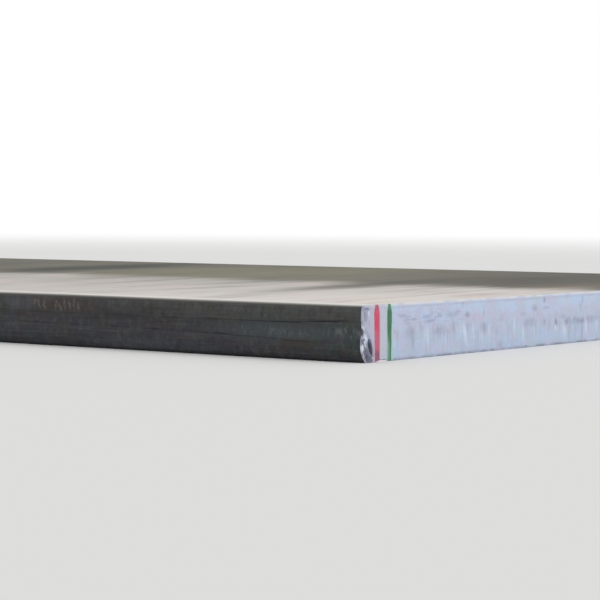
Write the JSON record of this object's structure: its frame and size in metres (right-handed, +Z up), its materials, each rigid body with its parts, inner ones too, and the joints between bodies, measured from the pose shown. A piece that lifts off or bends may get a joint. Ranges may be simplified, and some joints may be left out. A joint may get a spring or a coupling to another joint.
{
  "type": "steel plate",
  "caption": "Heavy hot-rolled steel plate with waved and lapped mill edges, flame-cut ends and a torn corner, stored lying flat.",
  "frame": {"origin": "middle of the underside, at the centre of the plate's length and width", "axes": "+X along the rolled length, towards the marked cut end; +Y across the width, away from the marked corner; +Z up through the thickness"},
  "size_m": [6, 1.818, 0.1],
  "materials": {
    "rolled_steel": "hot-rolled, with mill scale and light rust"
  },
  "bodies": {
    "root": {"steel_plate": "rolled_steel"}
  },
  "joints": []
}
